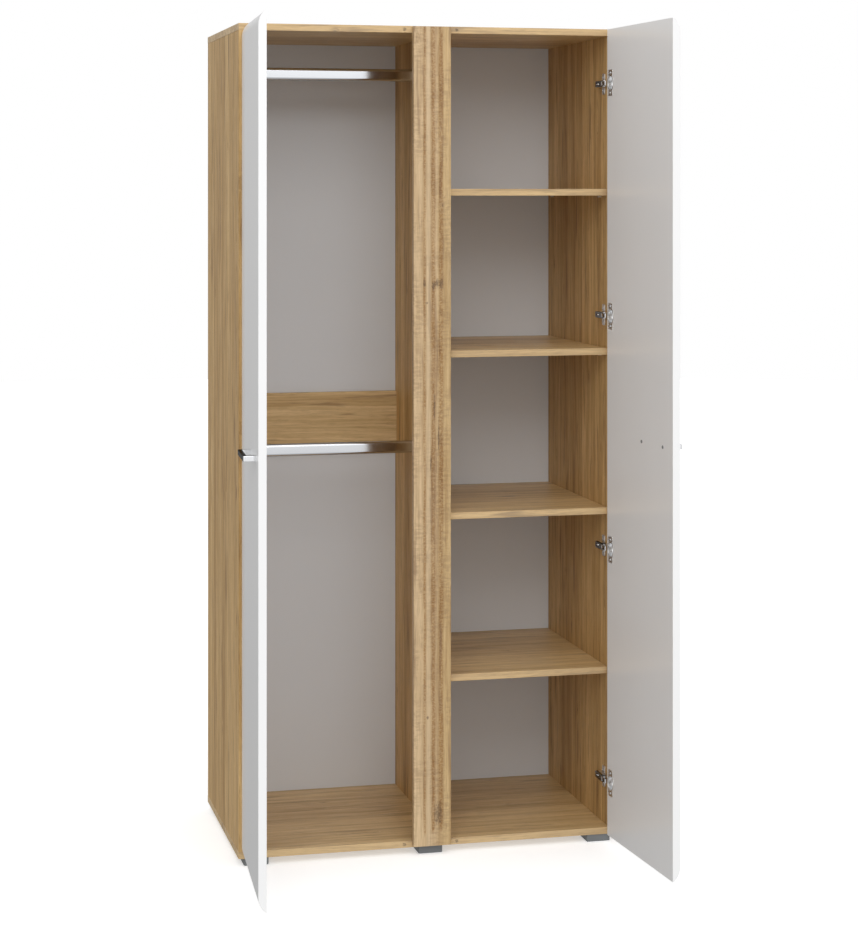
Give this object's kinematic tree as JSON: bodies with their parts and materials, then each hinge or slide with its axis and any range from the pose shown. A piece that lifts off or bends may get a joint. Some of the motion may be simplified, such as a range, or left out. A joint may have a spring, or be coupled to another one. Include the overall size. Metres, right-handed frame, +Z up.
{
  "type": "two-door wardrobe",
  "caption": "Tall wardrobe with an oak-look carcass, two white gloss hinged doors, a carved centre strip, a hanging bay with rails and a shelved bay.",
  "frame": {"origin": "middle of the bounding box with the doors open, at floor level", "axes": "+Z up, +Y from the doors towards the back panel, +X from the hanging bay to the shelved bay"},
  "size_m": [0.9996, 0.9506, 1.95],
  "materials": {
    "oak_decor": "satin",
    "white_gloss": "gloss",
    "white_back": "satin",
    "beech": "matte",
    "chrome": "polished",
    "rail_chrome": "polished",
    "nickel": "satin",
    "zinc": "satin",
    "grey_plastic": "matte",
    "clear_plastic": "gloss"
  },
  "bodies": {
    "carcass": {"top_panel": "oak_decor", "bottom_panel": "oak_decor", "left_side": "oak_decor", "right_side": "oak_decor", "divider": "oak_decor", "centre_strip": "oak_decor", "back_rail": "oak_decor", "back_panel_left": "white_back", "back_panel_right": "white_back", "shelf_1": "oak_decor", "shelf_2": "oak_decor", "shelf_3": "oak_decor", "shelf_4": "oak_decor", "shelf_pins": "nickel", "cam_housings": "zinc", "cam_bolts": "zinc", "dowels": "beech", "back_panel_nails": "zinc", "hanging_rail_lower": "rail_chrome", "hanging_rail_upper": "rail_chrome", "rail_brackets": "nickel", "rail_bracket_screws": "zinc", "foot_front_left": "grey_plastic", "foot_front_centre": "grey_plastic", "foot_front_right": "grey_plastic", "foot_rear_left": "grey_plastic", "foot_rear_centre": "grey_plastic", "foot_rear_right": "grey_plastic", "foot_screws": "zinc", "door_bumpers": "clear_plastic", "hinge_plate_screws": "zinc", "left_hinge_plates": "nickel", "right_hinge_plates": "nickel", "left_hinge_arm_1": "nickel", "left_hinge_arm_2": "nickel", "left_hinge_arm_3": "nickel", "left_hinge_arm_4": "nickel", "right_hinge_arm_1": "nickel", "right_hinge_arm_2": "nickel", "right_hinge_arm_3": "nickel", "right_hinge_arm_4": "nickel"},
    "left_door": {"left_door": "white_gloss", "left_handle": "chrome", "left_handle_screws": "zinc", "left_hinge_cup_screws": "zinc", "left_hinge_cup_1": "nickel", "left_hinge_cup_2": "nickel", "left_hinge_cup_3": "nickel", "left_hinge_cup_4": "nickel"},
    "left_links": {"left_hinge_links": "nickel"},
    "right_door": {"right_door": "white_gloss", "right_handle": "chrome", "right_handle_screws": "zinc", "right_hinge_cup_screws": "zinc", "right_hinge_cup_1": "nickel", "right_hinge_cup_2": "nickel", "right_hinge_cup_3": "nickel", "right_hinge_cup_4": "nickel"},
    "right_links": {"right_hinge_links": "nickel"}
  },
  "joints": [
    {"name": "left_door_hinge", "type": "hinge", "parent": "carcass", "child": "left_door", "pos_m": [-0.4481, -0.07444, 0], "axis": [0, 0, 1], "range_deg": [-16.4, 93.6]},
    {"name": "left_links_hinge", "type": "hinge", "parent": "carcass", "child": "left_links", "pos_m": [-0.43, -0.05144, 0], "axis": [0, 0, 1], "range_deg": [-4.3, 24.1]},
    {"name": "right_door_hinge", "type": "hinge", "parent": "carcass", "child": "right_door", "pos_m": [0.4481, -0.07444, 0], "axis": [0, 0, 1], "range_deg": [-93.6, 16.4]},
    {"name": "right_links_hinge", "type": "hinge", "parent": "carcass", "child": "right_links", "pos_m": [0.43, -0.05144, 0], "axis": [0, 0, 1], "range_deg": [-24.1, 4.3]}
  ],
  "couplings": [
    {"joint": "left_links_hinge", "follows": "left_door_hinge", "ratio": 0.25641},
    {"joint": "right_links_hinge", "follows": "right_door_hinge", "ratio": 0.25641}
  ]
}
